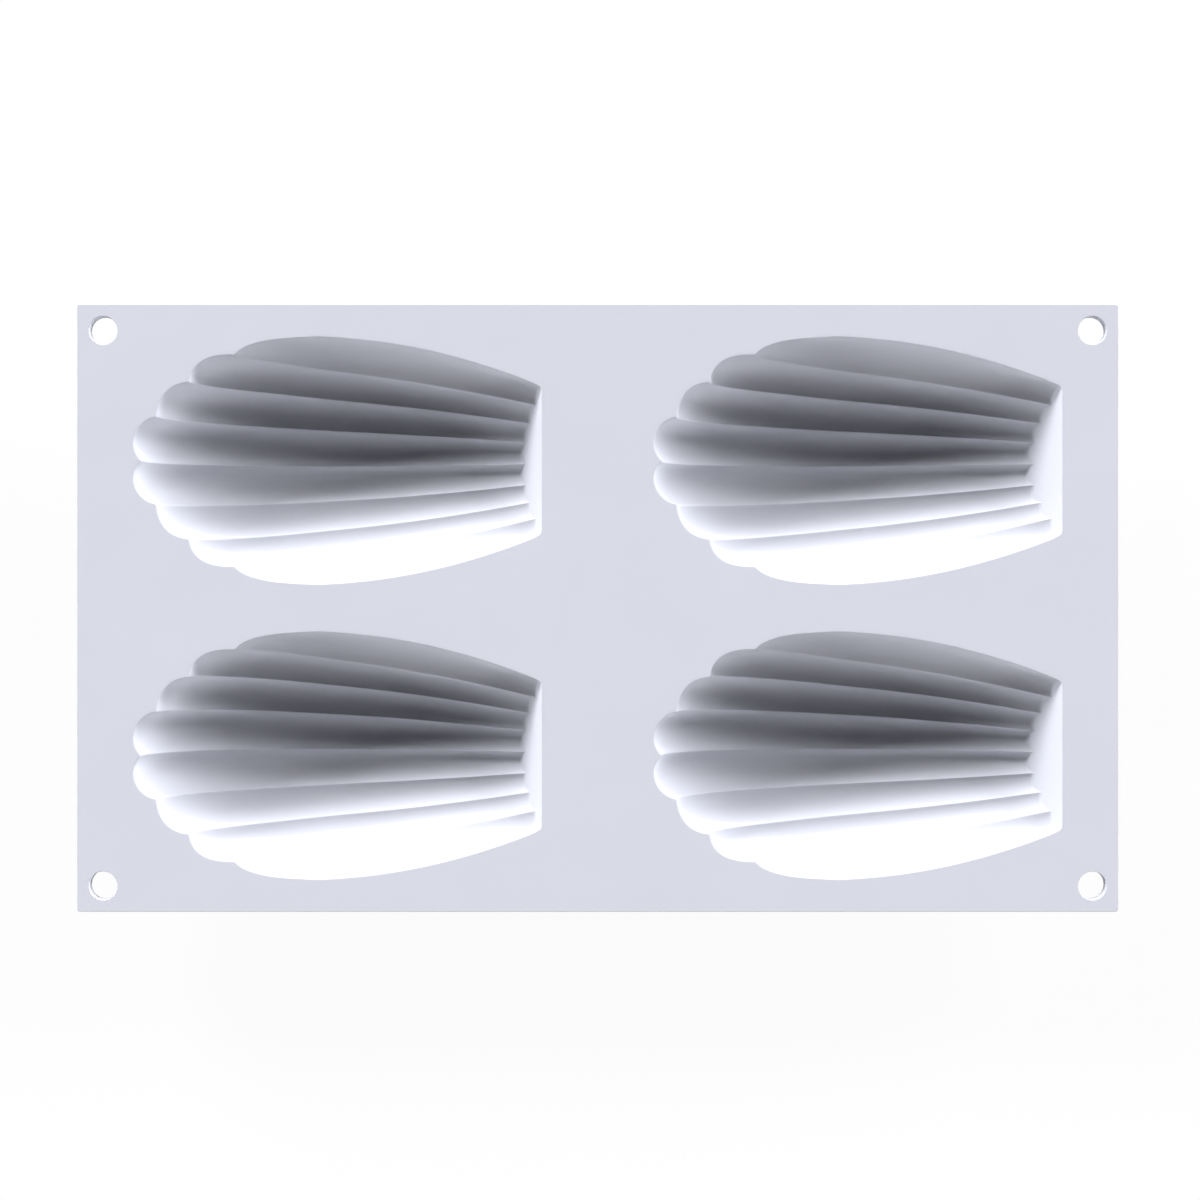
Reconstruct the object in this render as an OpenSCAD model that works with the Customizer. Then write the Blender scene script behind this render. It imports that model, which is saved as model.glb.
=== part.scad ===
// A silicone mould for four shell-shaped cakes: one moulding, drawn as its flat
// sheet and its four fluted cups, which meet face to face. Millimetres. The
// origin lies under the middle of the mould on the surface that the cups stand
// on, X runs along the sheet towards the cups' straight ends, and Z is up.

/* [Sheet] */
// Sheet left beyond the cups at each short edge
margin_l = 13.6; // [8:0.1:40]
// Sheet left beyond the cups at each long edge
margin_w = 6.7; // [4:0.1:30]
// Thickness of the sheet
sheet_t = 3.4; // [2:0.1:5]
// Radius of the sheet's corners
sheet_corner_r = 0.8; // [0.4:0.1:4]

/* [Corner holes] */
// Diameter of each corner hole
hole_d = 8.2; // [4:0.1:11]
// Distance from a hole's middle to both edges of the sheet
hole_inset = 7.5; // [6.5:0.1:9]

/* [Cups] */
// Gap between two cups along the sheet
gap_l = 27.2; // [6:0.1:60]
// Gap between two cups across the sheet
gap_w = 8.4; // [4:0.1:30]
// Thickness of a cup's wall, and width of its rim in the sheet
cup_wall = 2.4; // [1.6:0.1:3]
// Thickness of silicone under a cavity's deepest flutes
cup_floor = 1.8; // [1.2:0.1:2.4]

/* [Cavity] */
// Length of a cavity at the sheet, from its straight end to its lobes
cavity_l = 118; // [104:1:124]
// Largest width of a cavity at the sheet
cavity_w = 71.8; // [60:0.1:74]
// Depth of a cavity below the top of the sheet
cavity_depth = 27; // [20:0.5:32]
// Distance from the straight end to the widest and deepest section
belly_at = 64; // [56:1:68]
// Width of the straight end at the sheet
end_w = 43; // [40:0.5:48]
// Depth of the middle ridge where the flutes would reach the straight end
end_depth = 12.1; // [9:0.1:16]
// Slope of the end wall away from upright, in degrees
end_draft = 21.6; // [12:0.1:28]

/* [Flutes] */
// Height of the middle ridge above the deepest flutes
ridge_h = 2.8; // [1.6:0.1:3.4]
// Hollow of each flute at the deepest section, from the middle rib to the side rib
flute_hollow = [3.6, 2.9, 2.4, 2.2]; // [0.8:0.1:3.8]
// Hollow of each flute at the straight end, in the same order
flute_end_hollow = [2.9, 2.2, 1.9, 2.0]; // [0.8:0.1:2.9]
// How much squarer the nose of a flute is than the nose of a ridge
flute_nose = 0.5; // [0:0.1:1]
// Hollow of the flutes under a cup, as a share of that in the cavity
under_share = 0.6; // [0.4:0.05:1]
// Facets across one rib
rib_steps = 6; // [4:1:8]

/* [Hidden] */
silicone = [0.86, 0.87, 0.92];

// Ridges and rim of one half, from the middle outwards, as shares of the half
// width and of the middle ridge's depth, at the deepest section and at the end
belly_reach = [0, 0.293, 0.543, 0.769, 1];
belly_share = [1, 0.941, 0.767, 0.545, 0];
end_reach = [0, 0.266, 0.505, 0.746, 1];
end_share = [1, 0.967, 0.738, 0.375, 0];
// The mouth beyond the deepest section, as shares of the length left and of the
// half width: the notches between lobes, and two control points for each lobe
notch = [[0.948, 0], [0.869, 0.348], [0.694, 0.63], [0.453, 0.852], [0.148, 0.99]];
lobe_outer = [[0.97, 0.348], [0.796, 0.63], [0.611, 0.869], [0.296, 0.98]];
lobe_inner = [[1.048, 0.114], [0.869, 0.512], [0.694, 0.769], [0.424, 0.93]];
// Bow of the ridges and of the rim in plan, on each side of the deepest section
ridge_bow = 0.356;
rim_bow = 0.87;
tip_bow = 0.385;
// Exponents of the keel: its rise to the straight end and a ridge's round nose
keel_rise = 1.6;
nose_power = 2.28;

side_ribs = len(belly_reach) - 1;
lines = 2 * side_ribs * rib_steps;
end_rows = 7;
nose_rows = 9;
rows = end_rows + nose_rows;
foot_rounds = 6;

cup_l = cavity_l + 2 * cup_wall;
cup_w = cavity_w + 2 * cup_wall;
cup_pitch_x = cup_l + gap_l;
cup_pitch_y = cup_w + gap_w;
sheet_l = cup_pitch_x + cup_l + 2 * margin_l;
sheet_w = cup_pitch_y + cup_w + 2 * margin_w;
mould_h = cavity_depth + cup_floor;
sheet_z = mould_h - sheet_t;
ridge_depth = cavity_depth - ridge_h;
hole_x = sheet_l / 2 - hole_inset;
hole_y = sheet_w / 2 - hole_inset;
$fn = 64;

// A section or a mouth is a list of points, one for each line that runs along
// the ribs. Side is the rib's distance from the middle, in ribs.
function rib_side(rib) = rib < side_ribs ? side_ribs - 1 - rib : rib - side_ribs;

// A point of the circular arc from a to b that bulges by rise, at share t
function arc_point(a, b, rise, t) =
    let(half = norm(b - a) / 2, along = (b - a) / (2 * half))
    let(turn = 2 * atan(rise / half), r = half / sin(turn), at = turn * (2 * t - 1))
    (a + b) / 2 + along * r * sin(at) + [along[1], -along[0]] * r * (cos(at) - cos(turn));

function curve_point(p, t) =
    p[0] * pow(1 - t, 3) + 3 * p[1] * t * pow(1 - t, 2) + 3 * p[2] * t * t * (1 - t) + p[3] * pow(t, 3);

// Across the cavity at one place along it: [reach, depth] of each line
function section(reach, share, half_w, depth, hollow) =
    [for (line = [0:lines])
        let(rib = min(floor(line / rib_steps), 2 * side_ribs - 1), side = rib_side(rib))
        let(t = line / rib_steps - rib, s = rib < side_ribs ? t : 1 - t)
        let(rim_end = [reach[side + 1] * half_w, share[side + 1] * depth])
        let(mid_end = [reach[side] * half_w, share[side] * depth])
        let(p = arc_point(rim_end, mid_end, hollow[side], s))
        rib < side_ribs ? p : [-p[0], p[1]]];

// The mouth's edge at the lobes: [distance along, reach] of each line
function mouth(half_w, tip_l) =
    [for (line = [0:lines])
        let(rib = min(floor(line / rib_steps), 2 * side_ribs - 1), side = rib_side(rib))
        let(t = line / rib_steps - rib, s = rib < side_ribs ? t : 1 - t)
        let(p = curve_point([notch[side + 1], lobe_outer[side], lobe_inner[side], notch[side]], s))
        [belly_at + p[0] * tip_l, (rib < side_ribs ? 1 : -1) * p[1] * half_w]];

// Exponent of a line's nose, largest in the middle of a flute
function nose(line) =
    let(t = line / rib_steps - floor(line / rib_steps))
    nose_power + flute_nose * 4 * t * (1 - t);

// How far a line of a side rib lies towards the rim, from 0 at the ridge to 1
function rim_share(line) = max(0, abs(line / rib_steps - side_ribs) - side_ribs + 1);
function bowed(t, bow) = t * (1 + bow) - bow * t * t;

// Depth of a line between the straight end and the deepest section
function keel(end_d, belly_d, t) = belly_d - (belly_d - end_d) * pow(1 - t, keel_rise);

// Share of the way to the belly at which a line leaves the sloping end wall
function foot_share(end_d, belly_d, length, t, rounds) =
    rounds < 1 ? t
    : foot_share(end_d, belly_d, length, tan(end_draft) * keel(end_d, belly_d, t) / length, rounds - 1);

// One skin of the cup as rows of [distance along, reach, depth]. It starts at
// depth top, back millimetres behind the straight end, and goes no deeper than
// floor_d. Its flutes are hollowed by a share, and its ridges lie deeper for that.
function skin(grow, back, top, floor_d, hollow_share) =
    let(half_w = cavity_w / 2 + grow, length = belly_at + back)
    let(deep = ridge_depth + grow - top + (1 - hollow_share) * flute_hollow[0])
    let(end_d = end_depth + grow - top + (1 - hollow_share) * flute_end_hollow[0])
    let(hollow = flute_hollow * hollow_share, end_hollow = flute_end_hollow * hollow_share)
    let(belly = section(belly_reach, belly_share, half_w, deep, hollow))
    let(end = section(end_reach, end_share, end_w / 2 + grow, end_d, end_hollow))
    let(lips = mouth(half_w, cavity_l - belly_at + grow))
    [for (row = [0:rows], line = [0:lines])
        let(b = belly[line], e = end[line], m = lips[line])
        let(foot = foot_share(e[1], b[1], length, 0, foot_rounds))
        let(t = foot + (1 - foot) * row / end_rows)
        let(bend = 2 / nose(line), a = max(90 * (row - end_rows) / nose_rows, 0))
        let(x = pow(sin(a), bend))
        let(bow = ridge_bow + (rim_bow - ridge_bow) * rim_share(line))
        row < end_rows
        ? [t * length - back, e[0] + (b[0] - e[0]) * bowed(t, bow),
            min(floor_d, top + keel(e[1], b[1], t))]
        : [belly_at + (m[0] - belly_at) * x, b[0] + (m[1] - b[0]) * bowed(x, tip_bow),
            min(floor_d, top + b[1] * pow(cos(a), bend))]];

// Places in a skin of the points round its mouth, in order
function edge_ids() = concat(
    [for (row = [0:rows]) row * (lines + 1)],
    [for (line = [1:lines]) rows * (lines + 1) + line],
    [for (row = [rows - 1:-1:0]) row * (lines + 1) + lines]);

wall_skin = skin(0, 0, 0, mould_h, 1);
edge = edge_ids();
// The outer skin's end wall starts under the sheet, a cup's wall behind the inner one
end_back = cup_wall / cos(end_draft) - sheet_t * tan(end_draft);
outer_skin = skin(cup_wall, end_back, sheet_t, mould_h, under_share);
rim_outline = [for (id = edge) [outer_skin[id][0], outer_skin[id][1]]];

function quad(a, b, c, d) = [[a, b, c], [a, c, d]];
function skin_faces(first, flip) =
    [for (row = [0:rows - 1], line = [0:lines - 1])
        let(a = first + row * (lines + 1) + line, b = a + 1, c = b + lines + 1, d = a + lines + 1)
        each flip ? quad(a, d, c, b) : quad(a, b, c, d)];
function band_faces(lower, upper) =
    [for (i = [0:len(lower) - 1])
        let(j = (i + 1) % len(lower))
        each quad(lower[i], lower[j], upper[j], upper[i])];

module cup_shape() {
    count = len(wall_skin);
    ring = [for (i = [0:len(edge) - 1]) 2 * count + i];
    points = concat(
        [for (p = wall_skin) [cavity_l / 2 - p[0], p[1], mould_h - p[2]]],
        [for (p = outer_skin) [cavity_l / 2 - p[0], p[1], mould_h - p[2]]],
        [for (p = rim_outline) [cavity_l / 2 - p[0], p[1], mould_h]]);
    end_wall = [for (line = [lines:-1:0]) line];
    outer_end_wall = [for (line = [0:lines]) count + line];
    polyhedron(points, concat(
        skin_faces(0, false),
        skin_faces(count, true),
        [end_wall],
        [outer_end_wall],
        band_faces(edge, ring),
        band_faces(ring, [for (id = edge) count + id])), convexity = 10);
}

module at_cup(column, row) {
    translate([column * cup_pitch_x / 2, row * cup_pitch_y / 2, 0]) children();
}

module sheet_outline() {
    r = sheet_corner_r;
    square([sheet_l - 2 * r, sheet_w], center = true);
    square([sheet_l, sheet_w - 2 * r], center = true);
    for (x = [-1, 1], y = [-1, 1])
        translate([x * (sheet_l / 2 - r), y * (sheet_w / 2 - r)]) circle(r);
}

module sheet() {
    color(silicone)
    translate([0, 0, sheet_z])
    linear_extrude(sheet_t)
    difference() {
        sheet_outline();
        for (x = [-1, 1], y = [-1, 1]) {
            translate([x * hole_x, y * hole_y]) circle(d = hole_d);
            at_cup(x, y) polygon([for (p = rim_outline) [cavity_l / 2 - p[0], p[1]]]);
        }
    }
}

module cup(column, row) {
    color(silicone) at_cup(column, row) cup_shape();
}

sheet();
cup(-1, 1);  // cup_back_left
cup(1, 1);  // cup_back_right
cup(-1, -1);  // cup_front_left
cup(1, -1);  // cup_front_right
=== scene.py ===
"""Looks of a silicone mould for four shell-shaped cakes, built around its CAD frame.

The mould is one moulding: a flat sheet that carries four fluted cups. Each cup
is a closed cage of quads that follows the ribs, smoothed by subdivision. The
sheet is filled between its outline, its corner holes and the cups' seams.
"""

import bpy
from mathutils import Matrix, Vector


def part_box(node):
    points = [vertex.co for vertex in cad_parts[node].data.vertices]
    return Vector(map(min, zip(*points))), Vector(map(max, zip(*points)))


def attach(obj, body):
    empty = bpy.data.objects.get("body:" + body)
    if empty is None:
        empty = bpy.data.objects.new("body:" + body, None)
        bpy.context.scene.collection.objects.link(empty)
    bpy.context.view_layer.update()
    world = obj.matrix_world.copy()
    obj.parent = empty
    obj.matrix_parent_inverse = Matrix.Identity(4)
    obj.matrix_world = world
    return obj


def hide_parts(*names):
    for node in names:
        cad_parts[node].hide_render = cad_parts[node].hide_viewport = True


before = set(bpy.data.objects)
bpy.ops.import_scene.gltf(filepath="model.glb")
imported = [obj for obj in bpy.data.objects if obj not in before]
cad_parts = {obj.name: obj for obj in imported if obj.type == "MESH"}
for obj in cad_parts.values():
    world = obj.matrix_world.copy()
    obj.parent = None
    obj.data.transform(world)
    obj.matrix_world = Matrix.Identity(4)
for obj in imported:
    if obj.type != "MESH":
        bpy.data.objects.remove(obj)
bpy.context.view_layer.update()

import math

import bpy
import numpy as np
from mathutils import Vector

MM = 0.001
BODY = "root"
# Column and row of each cup, from the middle of the sheet
CUPS = {
    "cup_back_left": (-1, 1),
    "cup_back_right": (1, 1),
    "cup_front_left": (-1, -1),
    "cup_front_right": (1, -1),
}

# The sheet, measured on the frame, with its edges and holes
SHEET_LOW, SHEET_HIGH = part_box("sheet")
MOULD_H = SHEET_HIGH.z
SHEET_T = SHEET_HIGH.z - SHEET_LOW.z
SHEET_L = SHEET_HIGH.x - SHEET_LOW.x
SHEET_W = SHEET_HIGH.y - SHEET_LOW.y
SHEET_CORNER_R = 0.8 * MM
SHEET_CORNER_STEPS = 6
HOLE_R = 4.1 * MM
HOLE_INSET = 7.5 * MM
HOLE_SIDES = 64
EDGE_R = 0.15 * MM
EDGE_STEPS = 4
PITCH_X = 150 * MM
PITCH_Y = 85 * MM
# Points that are nearer to each other than this are one point
WELD = 0.002 * MM

# A cavity, measured from its straight end towards its lobes
CAVITY_L = 118 * MM
CAVITY_W = 71.8 * MM
RIDGE_DEPTH = 24.2 * MM
BELLY_AT = 64 * MM
END_W = 43 * MM
END_DEPTH = 12.1 * MM
END_DRAFT = math.radians(21.6)
END_CORNER_R = 2 * MM
BELLY_HOLLOW = np.array([3.6, 2.9, 2.4, 2.2]) * MM
END_HOLLOW = np.array([2.9, 2.2, 1.9, 2.0]) * MM

# A cup round its cavity, and how much of the sheet round its mouth it takes with it
UNDER_SHARE = 0.6
CUP_WALL = 2.4 * MM
FLANGE = 5 * MM

# Ridges and rim of one half from the middle outwards, as shares of the half
# width and of the middle ridge's depth
SIDE_RIBS = 4
BELLY_REACH = np.array([0, 0.293, 0.543, 0.769, 1])
BELLY_SHARE = np.array([1, 0.941, 0.767, 0.545, 0])
END_REACH = np.array([0, 0.266, 0.505, 0.746, 1])
END_SHARE = np.array([1, 0.967, 0.738, 0.375, 0])

# The mouth beyond the belly, as shares of the length left and of the half width:
# the notches between the lobes, and the two handles of each lobe's curve
NOTCH = np.array([[0.948, 0], [0.869, 0.348], [0.694, 0.63], [0.453, 0.852], [0.148, 0.99]])
LOBE_OUTER = np.array([[0.97, 0.348], [0.796, 0.63], [0.611, 0.869], [0.296, 0.98]])
LOBE_INNER = np.array([[1.048, 0.114], [0.869, 0.512], [0.694, 0.769], [0.424, 0.93]])

# How far ridges, rim and tips bow outwards, how fast the keel falls to the belly,
# and how square the nose is along a ridge, and more so in the middle of a flute
RIDGE_BOW = 0.356
RIM_BOW = 0.87
TIP_BOW = 0.385
KEEL_RISE = 1.6
NOSE_POWER = 2.28
FLUTE_NOSE = 0.5

# What the smoothing takes from the nose's length, what the rounded rim adds to the
# mouth, and how far out the rim's own support line lies
NOSE_GIVE = 0.45 * MM
RIM_GIVE = 0.15 * MM
RIM_SUPPORT = 0.2 * MM
# Place of the support line under the sheet, as a share of the way from wall to seam
ROOT_SUPPORT = 0.35
# Where an outline turns sharply, its corner moves out by at most one over this
MITRE_LIMIT = 0.5

# Where the cage has its lines across a rib, and its rows along the cavity. Close
# pairs beside a ridge, the foot of the end wall and the rim keep those crisp.
RIB_STOPS = (0, 0.045, 0.2, 0.4, 0.6, 0.8, 0.955)
RIM_STOPS = (0, 0.014, 0.07, 0.22, 0.4, 0.6, 0.8, 0.955)
WALL_STOPS = (0, 0.02, 0.18, 0.5, 0.78, 0.91)
END_STOPS = (0, 0.025, 0.08, 0.2, 0.38, 0.58, 0.79)
NOSE_STOPS = (0, 13, 26, 38, 49, 59, 68, 75.5, 81.5, 86, 88.5, 89.5, 90)
FOOT_ROUNDS = 12
SUBDIVISIONS = 2
SHARP_ANGLE = math.radians(60)

# The silicone. Each pattern has the size of its marks and its detail.
COOL_WHITE = (0.658, 0.665, 0.69)
COOL_WHITE_CLOUD = (0.646, 0.653, 0.678)
SILICONE_IOR = 1.41
SATIN = 0.25
ROUGHNESS = (0.62, 0.72)
CLOUD = (30 * MM, 3)
SHEEN = (0.9 * MM, 4)
RIPPLE = (9 * MM, 2)
GRAIN = (0.5 * MM, 3)
RIPPLE_H = 0.02 * MM
GRAIN_H = 0.0025 * MM
# Nearly all values of a noise lie in this range
NOISE_SPAN = (0.3, 0.7)

# The camera: its place over the sheet and off the middle, and the width that it sees
CAMERA_OVER = 531.5 * MM
CAMERA_ASIDE = (0.65 * MM, 2.32 * MM)
SEEN_WIDTH = 345.7 * MM
SENSOR = 36
LENS = SENSOR * CAMERA_OVER / SEEN_WIDTH

# The table: its width, how light it is to the lamps, and how much of its shadow is seen
TABLE_SIZE = 6.0
TABLE_TONE = 0.5
SHADOW_SHARE = 0.05
COOL_LIGHT = (0.995, 1.0, 1.085)
# Each lamp's azimuth, elevation and width in degrees, and its strength
LAMPS = {
    "back_left": (123, 21, 20, 1.33),
    "back_right": (45, 18, 30, 1.42),
    "low_left": (195, 6, 14, 0.48),
    "front_right": (315, 14, 14, 0.36),
}


def line_stops():
    """Places of the cage's lines across the cavity, in ribs from one rim to the other."""
    half = list(RIM_STOPS) + [rib + t for rib in range(1, SIDE_RIBS) for t in RIB_STOPS]
    return np.array(half + [SIDE_RIBS] + [2 * SIDE_RIBS - u for u in reversed(half)])


def rib_place(u):
    """Side of the middle, number of the rib from the middle, and share from its outer ridge."""
    rib = np.clip(np.floor(u).astype(int), 0, 2 * SIDE_RIBS - 1)
    first = rib < SIDE_RIBS
    number = np.where(first, SIDE_RIBS - 1 - rib, rib - SIDE_RIBS)
    share = np.where(first, u - rib, 1 - (u - rib))
    return np.where(first, 1, -1), number, share


def arc_point(a, b, rise, t):
    """A point of the circular arc from a to b that bulges by rise, at share t."""
    half = np.linalg.norm(b - a, axis=1) / 2
    along = (b - a) / (2 * half[:, None])
    turn = 2 * np.arctan(rise / half)
    radius = half / np.sin(turn)
    at = turn * (2 * t - 1)
    across = np.stack([along[:, 1], -along[:, 0]], 1)
    middle = (a + b) / 2
    return (
        middle
        + along * (radius * np.sin(at))[:, None]
        + across * (radius * (np.cos(at) - np.cos(turn)))[:, None]
    )


def section(u, reach, share, half_w, depth, hollow):
    """Reach and depth of each line across the cavity at one place along it."""
    side, number, t = rib_place(u)
    rim_end = np.stack([reach[number + 1] * half_w, share[number + 1] * depth], 1)
    mid_end = np.stack([reach[number] * half_w, share[number] * depth], 1)
    points = arc_point(rim_end, mid_end, hollow[number], t)
    return points * np.stack([side, np.ones_like(side)], 1)


def mouth(u, half_w, tip_l):
    """Distance along and reach of the mouth's edge at the lobes, a Bezier curve for each."""
    side, number, t = rib_place(u)
    t = t[:, None]
    share = (
        NOTCH[number + 1] * (1 - t) ** 3
        + 3 * LOBE_OUTER[number] * t * (1 - t) ** 2
        + 3 * LOBE_INNER[number] * t**2 * (1 - t)
        + NOTCH[number] * t**3
    )
    return np.stack([BELLY_AT + share[:, 0] * tip_l, share[:, 1] * half_w * side], 1)


def bowed(t, bow):
    """A share of the way from 0 to 1 that runs ahead at first."""
    return t * (1 + bow) - bow * t * t


def keel(end_d, belly_d, t):
    """Depth of a line between the straight end and the belly."""
    return belly_d - (belly_d - end_d) * (1 - t) ** KEEL_RISE


def skin(u, grow, back, top, hollow_share=1):
    """Rows of points, as distance along, reach and depth: the end wall, then the cavity.

    The skin lies outside the cavity's by grow, and by back at the straight end. It
    starts at depth top, and its flutes are hollow_share times as deep.
    """
    half_w, length = CAVITY_W / 2 + grow, BELLY_AT + back
    deep = RIDGE_DEPTH + grow - top + (1 - hollow_share) * BELLY_HOLLOW[0]
    end_d = END_DEPTH + grow - top + (1 - hollow_share) * END_HOLLOW[0]
    belly = section(u, BELLY_REACH, BELLY_SHARE, half_w, deep, BELLY_HOLLOW * hollow_share)
    end = section(u, END_REACH, END_SHARE, END_W / 2 + grow, end_d, END_HOLLOW * hollow_share)
    lips = mouth(u, half_w, CAVITY_L - BELLY_AT + grow + NOSE_GIVE)
    rim_share = np.maximum(0, abs(u - SIDE_RIBS) - SIDE_RIBS + 1)
    bow = RIDGE_BOW + (RIM_BOW - RIDGE_BOW) * rim_share
    from_ridge = rib_place(u)[2]
    power = NOSE_POWER + FLUTE_NOSE * 4 * from_ridge * (1 - from_ridge)
    foot = np.zeros_like(u)
    for _ in range(FOOT_ROUNDS):
        foot = math.tan(END_DRAFT) * keel(end[:, 1], belly[:, 1], foot) / length

    def end_row(t):
        reach = end[:, 0] + (belly[:, 0] - end[:, 0]) * bowed(t, bow)
        return np.stack([t * length - back, reach, top + keel(end[:, 1], belly[:, 1], t)], 1)

    def nose_row(degrees):
        a = math.radians(degrees)
        x = math.sin(a) ** (2 / power)
        along = BELLY_AT + (lips[:, 0] - BELLY_AT) * x
        reach = belly[:, 0] + (lips[:, 1] - belly[:, 0]) * bowed(x, TIP_BOW)
        depth = top + belly[:, 1] * max(math.cos(a), 0) ** (2 / power)
        return np.stack([along, reach, depth], 1)

    foot_row = end_row(foot)
    edge_reach = end[0, 0] * (1 - u / SIDE_RIBS)
    edge_row = np.stack([np.full_like(u, -back), edge_reach, np.full_like(u, top)], 1)
    rows = [edge_row + (foot_row - edge_row) * f for f in WALL_STOPS]
    rows += [end_row(foot + (1 - foot) * q) for q in END_STOPS]
    rows += [nose_row(a) for a in NOSE_STOPS]
    points = np.array(rows)
    points[:, :, 2] = np.minimum(points[:, :, 2], MOULD_H)
    return points


def round_corners(rows):
    """Pulls a skin in at the two corners of the straight end, which rounds the mouth there."""
    rim = (rows[len(WALL_STOPS) + 1, 0] - rows[0, 0])[:2]
    turn = math.pi / 2 - math.atan2(rim[1], rim[0])
    reach = END_CORNER_R * math.tan(turn / 2)
    pull = END_CORNER_R * (1 / math.cos(turn / 2) - 1)
    inward = rim / np.linalg.norm(rim) + [0, -1]
    inward = np.append(inward / np.linalg.norm(inward), 0)
    for corner, side in ((rows[0, 0].copy(), 1), (rows[0, -1].copy(), -1)):
        near = np.maximum(1 - np.linalg.norm(rows - corner, axis=2) / reach, 0)[:, :, None]
        rows = rows + near**2 * pull * inward * [1, side, 1]
    return rows


def cage_ids(first, rows, lines):
    """Number of each point of a skin. The end wall's rows meet in one point at each corner."""
    ids = first + np.arange(rows * lines).reshape(rows, lines)
    foot = len(WALL_STOPS)
    ids[:foot, 0] = ids[foot, 0]
    ids[:foot, -1] = ids[foot, -1]
    return ids


def mouth_loop(ids):
    """The points round the mouth: the straight end, one side, the lobes and the other side."""
    foot = len(WALL_STOPS)
    return np.concatenate(
        [ids[0, 1:-1], ids[foot:, -1], ids[-1, -2:0:-1], ids[: foot - 1 : -1, 0]]
    )


def outward(loop):
    """For each point of a closed outline in plan, the step that moves its edges out by one."""
    before, after = loop - np.roll(loop, 1, 0), np.roll(loop, -1, 0) - loop
    normals = [
        np.stack([-d[:, 1], d[:, 0]], 1) / np.linalg.norm(d, axis=1)[:, None]
        for d in (before, after)
    ]
    total = normals[0] + normals[1]
    step = total / np.maximum((total * normals[0]).sum(1), MITRE_LIMIT)[:, None]
    x, y = loop.T
    area = (x * np.roll(y, -1) - np.roll(x, -1) * y).sum()
    return step if area < 0 else -step


def grid_faces(ids, flip):
    """The quads between the rows and lines of a grid of points."""
    a, b, c, d = ids[:-1, :-1], ids[:-1, 1:], ids[1:, 1:], ids[1:, :-1]
    quads = np.stack([a, b, c, d], -1).reshape(-1, 4)
    return quads[:, ::-1] if flip else quads


def band_faces(lower, upper):
    """The quads between two closed loops of points."""
    return np.stack([lower, np.roll(lower, -1), np.roll(upper, -1), upper], 1)


def cup_cage():
    """The closed cage of one cup round its cavity's middle, and the two loops of its seam."""
    u = line_stops()
    back = CUP_WALL / math.cos(END_DRAFT) - SHEET_T * math.tan(END_DRAFT)
    inner = round_corners(skin(u, -RIM_GIVE, -RIM_GIVE, 0))
    outer = skin(u, CUP_WALL, back, SHEET_T, UNDER_SHARE)
    seam = skin(u, FLANGE, FLANGE, 0)
    count = inner.shape[0] * inner.shape[1]
    inner_ids, outer_ids = (cage_ids(n * count, *inner.shape[:2]) for n in range(2))
    mouth_ids = mouth_loop(inner_ids)
    inner_flat, outer_flat, seam_flat = (s.reshape(-1, 3) for s in (inner, outer, seam))
    rim, wall, edge = inner_flat[mouth_ids], outer_flat[mouth_ids], seam_flat[mouth_ids]
    at_top, at_root = np.zeros(len(rim)), np.full(len(rim), SHEET_T)
    rings = [
        np.c_[rim[:, :2] + outward(rim[:, :2]) * RIM_SUPPORT, at_top],
        np.c_[edge[:, :2], at_top],
        np.c_[edge[:, :2], at_root],
        np.c_[wall[:, :2] + (edge - wall)[:, :2] * ROOT_SUPPORT, at_root],
    ]
    loops = [2 * count + n * len(rim) + np.arange(len(rim)) for n in range(len(rings))]
    points = np.concatenate([inner_flat, outer_flat, *rings])
    points = np.stack([CAVITY_L / 2 - points[:, 0], points[:, 1], MOULD_H - points[:, 2]], 1)
    stack = [mouth_ids, *loops, mouth_loop(outer_ids)]
    faces = [grid_faces(inner_ids, True), grid_faces(outer_ids, False)]
    faces += [band_faces(low, high) for low, high in zip(stack, stack[1:])]
    return points, np.concatenate(faces), loops[1:3]


def mesh_from(name, points, faces):
    """A mesh without unused points or doubled corners, and the new number of each point."""
    used = sorted(set(int(i) for face in faces for i in face))
    place = {old: new for new, old in enumerate(used)}
    clean = [list(dict.fromkeys(place[int(i)] for i in face)) for face in faces]
    mesh = bpy.data.meshes.new(name)
    mesh.from_pydata([tuple(points[i]) for i in used], [], [f for f in clean if len(f) > 2])
    mesh.validate()
    return mesh, place


def cup_mesh():
    """The cage as a mesh that notes which of its edges are the seam's."""
    points, faces, seam_loops = cup_cage()
    mesh, place = mesh_from("cup_cage", points, faces)
    on_seam = [{place[int(i)] for i in loop} for loop in seam_loops]
    seam = mesh.attributes.new("seam", "FLOAT", "EDGE")
    for edge in mesh.edges:
        a, b = edge.vertices
        seam.data[edge.index].value = float(any(a in s and b in s for s in on_seam))
    return mesh


def link(name, data):
    """A new object in the scene."""
    made = bpy.data.objects.new(name, data)
    bpy.context.scene.collection.objects.link(made)
    return made


def line_mesh(name, points, closed):
    """A chain of edges through points in the XY plane."""
    ends = [(i, i + 1) for i in range(len(points) - 1)] + [(len(points) - 1, 0)] * closed
    mesh = bpy.data.meshes.new(name)
    mesh.from_pydata([(x, y, 0) for x, y in points], ends, [])
    return mesh


def add(tree, kind, inputs=(), **settings):
    """Adds a node with its options. Its inputs get values or other nodes' sockets."""
    node = tree.nodes.new(kind)
    for name, value in settings.items():
        setattr(node, name, value)
    for place, value in dict(inputs).items():
        if isinstance(value, bpy.types.NodeSocket):
            tree.links.new(value, node.inputs[place])
        else:
            node.inputs[place].default_value = value
    return node


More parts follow.
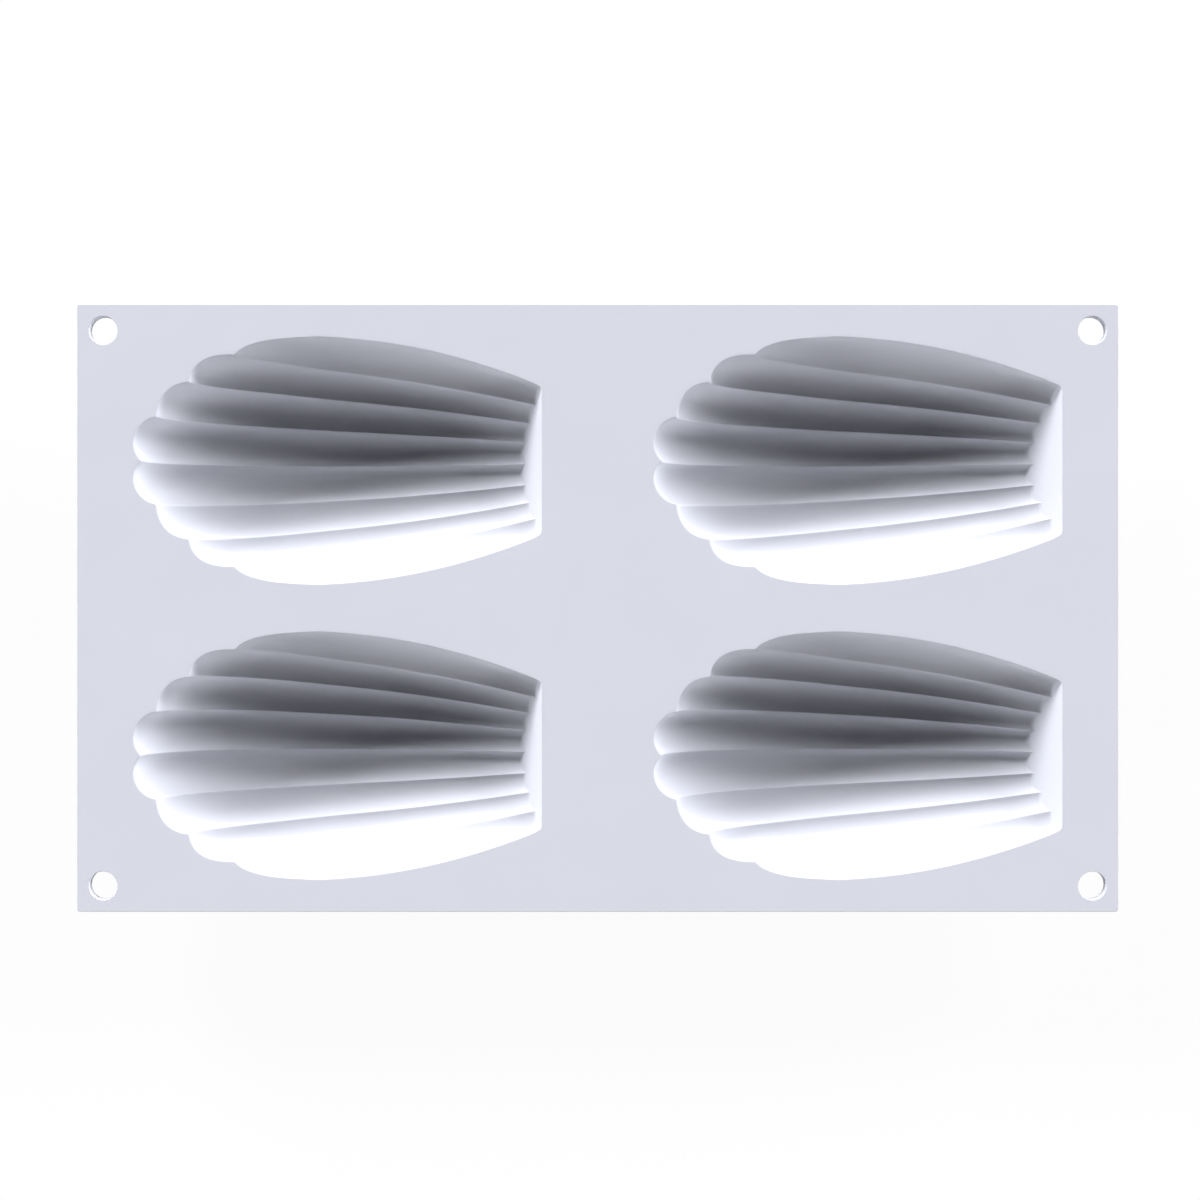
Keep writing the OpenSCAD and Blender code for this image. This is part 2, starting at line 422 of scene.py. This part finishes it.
def new_tree(name, sockets):
    """A Geometry Nodes tree with named inputs after its geometry, and its input sockets."""
    tree = bpy.data.node_groups.new(name, "GeometryNodeTree")
    tree.interface.new_socket("Geometry", in_out="INPUT", socket_type="NodeSocketGeometry")
    tree.interface.new_socket("Geometry", in_out="OUTPUT", socket_type="NodeSocketGeometry")
    for label, kind in sockets.items():
        tree.interface.new_socket(label, in_out="INPUT", socket_type="NodeSocket" + kind)
    return tree, tree.nodes.new("NodeGroupInput").outputs


def finish_tree(tree, last, given):
    """Ends a tree with real geometry in its material."""
    real = add(tree, "GeometryNodeRealizeInstances", {"Geometry": last.outputs[0]})
    finish = {"Geometry": real.outputs[0], "Material": given["Finish"]}
    made = add(tree, "GeometryNodeSetMaterial", finish)
    add(tree, "NodeGroupOutput", {"Geometry": made.outputs[0]})


def grown(name, base, tree, values):
    """The plain mesh that a tree makes of a base mesh with these values of its inputs."""
    holder = link(name, base)
    modifier = holder.modifiers.new(name, "NODES")
    modifier.node_group = tree
    for item in tree.interface.items_tree:
        if item.in_out == "INPUT" and item.name in values:
            modifier[item.identifier] = values[item.name]
    graph = bpy.context.evaluated_depsgraph_get()
    mesh = bpy.data.meshes.new_from_object(holder.evaluated_get(graph))
    bpy.data.objects.remove(holder)
    mesh.name = name
    return mesh


def cup_tree():
    """Smooths a cup's cage between its creased seams and puts it in its place in the sheet."""
    sockets = {"Levels": "Int", "Along": "Float", "Across": "Float", "Finish": "Material"}
    tree, given = new_tree("moulded_cup", sockets)
    seam = add(tree, "GeometryNodeInputNamedAttribute", {"Name": "seam"}, data_type="FLOAT")
    smooth = add(
        tree,
        "GeometryNodeSubdivisionSurface",
        {"Mesh": given["Geometry"], "Level": given["Levels"], "Edge Crease": seam.outputs[0]},
    )
    place = add(tree, "ShaderNodeCombineXYZ", {"X": given["Along"], "Y": given["Across"]})
    moved = add(
        tree,
        "GeometryNodeTransform",
        {"Geometry": smooth.outputs[0], "Translation": place.outputs[0]},
    )
    shaded = add(tree, "GeometryNodeSetShadeSmooth", {"Geometry": moved.outputs[0]})
    finish_tree(tree, shaded, given)
    return tree


def sheet_tree():
    """The sheet: its outline, corner holes and cup seams are filled, and given their walls."""
    lengths = ["Length", "Width", "Thickness", "Height", "Corner radius", "Edge radius"]
    lengths += ["Hole radius", "Hole spacing along", "Hole spacing across"]
    lengths += ["Cups along", "Cups across"]
    lines = ["Seam", "Edge profile", "Seam profile"]
    sockets = dict.fromkeys(lengths, "Float") | dict.fromkeys(lines, "Object")
    tree, given = new_tree("holed_sheet", sockets | {"Finish": "Material"})

    def calc(operation, a, b):
        return add(tree, "ShaderNodeMath", {0: a, 1: b}, operation=operation).outputs[0]

    def curve_of(label):
        found = add(tree, "GeometryNodeObjectInfo", {"Object": given[label]})
        return add(tree, "GeometryNodeMeshToCurve", {"Mesh": found.outputs["Geometry"]}).outputs[0]

    def at_four(size_x, size_y, shape):
        sizes = {"Size X": size_x, "Size Y": size_y, "Vertices X": 2, "Vertices Y": 2}
        grid = add(tree, "GeometryNodeMeshGrid", sizes)
        links = {"Points": grid.outputs["Mesh"], "Instance": shape}
        copies = add(tree, "GeometryNodeInstanceOnPoints", links)
        return add(tree, "GeometryNodeRealizeInstances", {"Geometry": copies.outputs[0]}).outputs[0]

    def walls(curve, profile):
        upright = add(tree, "GeometryNodeSetCurveNormal", {"Curve": curve}, mode="Z_UP")
        lines = {"Curve": upright.outputs[0], "Profile Curve": profile}
        return add(tree, "GeometryNodeCurveToMesh", lines).outputs[0]

    inset = calc("MULTIPLY", given["Edge radius"], 2.0)
    frame_curve = add(
        tree,
        "GeometryNodeCurvePrimitiveQuadrilateral",
        {
            "Width": calc("SUBTRACT", given["Length"], inset),
            "Height": calc("SUBTRACT", given["Width"], inset),
        },
    )
    outline = add(
        tree,
        "GeometryNodeFilletCurve",
        {
            "Curve": frame_curve.outputs[0],
            "Count": SHEET_CORNER_STEPS,
            "Radius": calc("SUBTRACT", given["Corner radius"], given["Edge radius"]),
        },
        mode="POLY",
    ).outputs[0]
    hole_r = calc("ADD", given["Hole radius"], given["Edge radius"])
    ring = {"Resolution": HOLE_SIDES, "Radius": hole_r}
    circle = add(tree, "GeometryNodeCurvePrimitiveCircle", ring)
    turned = add(tree, "GeometryNodeReverseCurve", {"Curve": circle.outputs[0]})
    holes = at_four(given["Hole spacing along"], given["Hole spacing across"], turned.outputs[0])
    seams = at_four(given["Cups along"], given["Cups across"], curve_of("Seam"))

    curves = add(tree, "GeometryNodeJoinGeometry")
    for curve in (outline, holes, seams):
        tree.links.new(curve, curves.inputs[0])
    filled = add(tree, "GeometryNodeFillCurve", {"Curve": curves.outputs[0]}, mode="TRIANGLES")
    faces = {"Geometry": filled.outputs[0], "Shade Smooth": False}
    flat = add(tree, "GeometryNodeSetShadeSmooth", faces).outputs[0]
    down = add(tree, "ShaderNodeCombineXYZ", {"Z": calc("MULTIPLY", given["Thickness"], -1.0)})
    shift = {"Geometry": flat, "Translation": down.outputs[0]}
    lower = add(tree, "GeometryNodeTransform", shift)
    bottom = add(tree, "GeometryNodeFlipFaces", {"Mesh": lower.outputs[0]})

    rounded = curve_of("Edge profile")
    whole = add(tree, "GeometryNodeJoinGeometry")
    parts = [flat, bottom.outputs[0], walls(outline, rounded), walls(holes, rounded)]
    for part in parts + [walls(seams, curve_of("Seam profile"))]:
        tree.links.new(part, whole.inputs[0])
    merge = {"Geometry": whole.outputs[0], "Distance": WELD}
    welded = add(tree, "GeometryNodeMergeByDistance", merge)
    up = add(tree, "ShaderNodeCombineXYZ", {"Z": given["Height"]})
    lift = {"Geometry": welded.outputs[0], "Translation": up.outputs[0]}
    finish_tree(tree, add(tree, "GeometryNodeTransform", lift), given)
    return tree


def seam_points(cup):
    """The top edge of a smoothed cup's seam, in order round the mouth."""
    on_top = [vertex.co.z > MOULD_H - WELD for vertex in cup.vertices]
    after = {}
    for edge in cup.edges:
        a, b = edge.vertices
        if edge.use_edge_sharp and on_top[a] and on_top[b]:
            after.setdefault(a, []).append(b)
            after.setdefault(b, []).append(a)
    first = next(iter(after))
    order, before, here = [], None, first
    while not order or here != first:
        order.append(here)
        before, here = here, next(i for i in after[here] if i != before)
    return [cup.vertices[i].co.xy[:] for i in order]


def edge_profile():
    """The sheet's edge from its top down, as distance out and depth, rounded above and below."""
    arc = [math.pi / 2 * n / EDGE_STEPS for n in range(EDGE_STEPS + 1)]
    top = [(EDGE_R * math.sin(a), EDGE_R * (1 - math.cos(a))) for a in arc]
    return top + [(x, SHEET_T - y) for x, y in reversed(top)]


def silicone():
    """Cool white silicone: satin, faintly clouded, with a moulding's fine grain and ripple."""
    material = bpy.data.materials.new("satin_silicone")
    material.use_nodes = True
    tree = material.node_tree
    shader = tree.nodes["Principled BSDF"]
    shader.inputs["IOR"].default_value = SILICONE_IOR
    shader.inputs["Specular IOR Level"].default_value = SATIN
    place = add(tree, "ShaderNodeTexCoord").outputs["Object"]

    def noise(size, detail):
        settings = {"Vector": place, "Scale": 1 / size, "Detail": detail}
        return add(tree, "ShaderNodeTexNoise", settings).outputs["Fac"]

    def ranged(value, low, high):
        ends = {"From Min": NOISE_SPAN[0], "From Max": NOISE_SPAN[1], "To Min": low, "To Max": high}
        return add(tree, "ShaderNodeMapRange", {"Value": value} | ends).outputs["Result"]

    def bump(pattern, height, under):
        settings = {"Height": noise(*pattern), "Distance": height, "Strength": 1.0}
        return add(tree, "ShaderNodeBump", settings | under).outputs[0]

    colour = add(tree, "ShaderNodeMix", data_type="RGBA")
    tree.links.new(ranged(noise(*CLOUD), 0, 1), colour.inputs["Factor"])
    for socket, tone in zip((colour.inputs[6], colour.inputs[7]), (COOL_WHITE, COOL_WHITE_CLOUD)):
        socket.default_value = (*tone, 1)
    tree.links.new(colour.outputs[2], shader.inputs["Base Color"])
    tree.links.new(ranged(noise(*SHEEN), *ROUGHNESS), shader.inputs["Roughness"])
    ripple = bump(RIPPLE, RIPPLE_H, {})
    tree.links.new(bump(GRAIN, GRAIN_H, {"Normal": ripple}), shader.inputs["Normal"])
    return material


def stand_for(node, mesh):
    """Shows a mesh in the place of a CAD node."""
    piece = link(node + "_skin", mesh)
    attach(piece, BODY)
    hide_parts(node)


def build_mould():
    """The four cups, then the sheet, which is filled up to the cups' seams."""
    finish = silicone()
    tree, cage = cup_tree(), cup_mesh()
    smoothing = {"Levels": SUBDIVISIONS, "Finish": finish}

    def cup(name, along, across):
        mesh = grown(name, cage, tree, smoothing | {"Along": along, "Across": across})
        mesh.set_sharp_from_angle(angle=SHARP_ANGLE)
        return mesh

    for node, (column, row) in CUPS.items():
        stand_for(node, cup(node + "_skin", column * PITCH_X / 2, row * PITCH_Y / 2))

    seam = seam_points(cup("cup", 0.0, 0.0))
    upright = [(0, 0), (0, SHEET_T)]
    lines = {
        "Seam": link("seam", line_mesh("seam", seam, True)),
        "Edge profile": link("edge_profile", line_mesh("edge_profile", edge_profile(), False)),
        "Seam profile": link("seam_profile", line_mesh("seam_profile", upright, False)),
    }
    sizes = {
        "Length": SHEET_L,
        "Width": SHEET_W,
        "Thickness": SHEET_T,
        "Height": MOULD_H,
        "Corner radius": SHEET_CORNER_R,
        "Edge radius": EDGE_R,
        "Hole radius": HOLE_R,
        "Hole spacing along": SHEET_L - 2 * HOLE_INSET,
        "Hole spacing across": SHEET_W - 2 * HOLE_INSET,
        "Cups along": PITCH_X,
        "Cups across": PITCH_Y,
        "Finish": finish,
    }
    sheet = grown("sheet_skin", bpy.data.meshes.new("bare_sheet"), sheet_tree(), sizes | lines)
    for line in lines.values():
        bpy.data.objects.remove(line)
    stand_for("sheet", sheet)


def seen(tree):
    """1 for rays that look at a surface from the camera, in a reflection or through glass."""
    rays = add(tree, "ShaderNodeLightPath").outputs
    either = rays["Is Camera Ray"]
    for other in (rays["Is Glossy Ray"], rays["Is Transmission Ray"]):
        either = add(tree, "ShaderNodeMath", {0: either, 1: other}, operation="MAXIMUM").outputs[0]
    return either


def white_floor():
    """A matt table. Seen, it is almost as bright as the backdrop and keeps a faint shadow."""
    material = bpy.data.materials.new("white_table")
    material.use_nodes = True
    tree = material.node_tree
    tree.nodes.remove(tree.nodes["Principled BSDF"])
    matt = add(tree, "ShaderNodeBsdfDiffuse", {"Color": (TABLE_TONE, TABLE_TONE, TABLE_TONE, 1)})
    shaded = add(tree, "ShaderNodeBsdfDiffuse", {"Color": (1, 1, 1, 1)})
    glow = add(tree, "ShaderNodeEmission", {"Color": (1, 1, 1, 1), "Strength": 1.0})
    light = {0: SHADOW_SHARE, 1: glow.outputs[0], 2: shaded.outputs[0]}
    bright = add(tree, "ShaderNodeMixShader", light)
    either = {0: seen(tree), 1: matt.outputs[0], 2: bright.outputs[0]}
    surface = add(tree, "ShaderNodeMixShader", either)
    tree.links.new(surface.outputs[0], tree.nodes["Material Output"].inputs["Surface"])
    return material


def white_backdrop():
    """White where it is looked at. It gives no light, which the lamps do."""
    world = bpy.data.worlds.new("white_backdrop")
    world.use_nodes = True
    tree = world.node_tree
    background = tree.nodes["Background"]
    background.inputs["Color"].default_value = (1, 1, 1, 1)
    tree.links.new(seen(tree), background.inputs["Strength"])
    bpy.context.scene.world = world


def stand():
    """The table that the mould stands on."""
    size = TABLE_SIZE / 2
    corners = [(-size, -size, 0), (size, -size, 0), (size, size, 0), (-size, size, 0)]
    mesh = bpy.data.meshes.new("table")
    mesh.from_pydata(corners, [], [(0, 1, 2, 3)])
    mesh.materials.append(white_floor())
    link("table", mesh)


def look():
    """The camera looks straight down, a little off the middle of the sheet."""
    camera = link("camera", bpy.data.cameras.new("camera"))
    camera.location = (*CAMERA_ASIDE, MOULD_H + CAMERA_OVER)
    camera.data.lens = LENS
    camera.data.sensor_width = SENSOR
    bpy.context.scene.camera = camera
    bpy.context.scene.view_settings.view_transform = "Standard"


def lamp(name, azimuth, elevation, spread, strength):
    """A wide soft light from far away. At strength 1 a white face turned to it renders white."""
    data = bpy.data.lights.new(name, "SUN")
    data.angle = math.radians(spread)
    data.energy = strength * math.pi
    data.color = COOL_LIGHT
    a, e = math.radians(azimuth), math.radians(elevation)
    towards = Vector((math.cos(a) * math.cos(e), math.sin(a) * math.cos(e), math.sin(e)))
    link(name, data).rotation_euler = towards.to_track_quat("Z", "Y").to_euler()


build_mould()
stand()
white_backdrop()
look()
for name, aim in LAMPS.items():
    lamp(name, *aim)
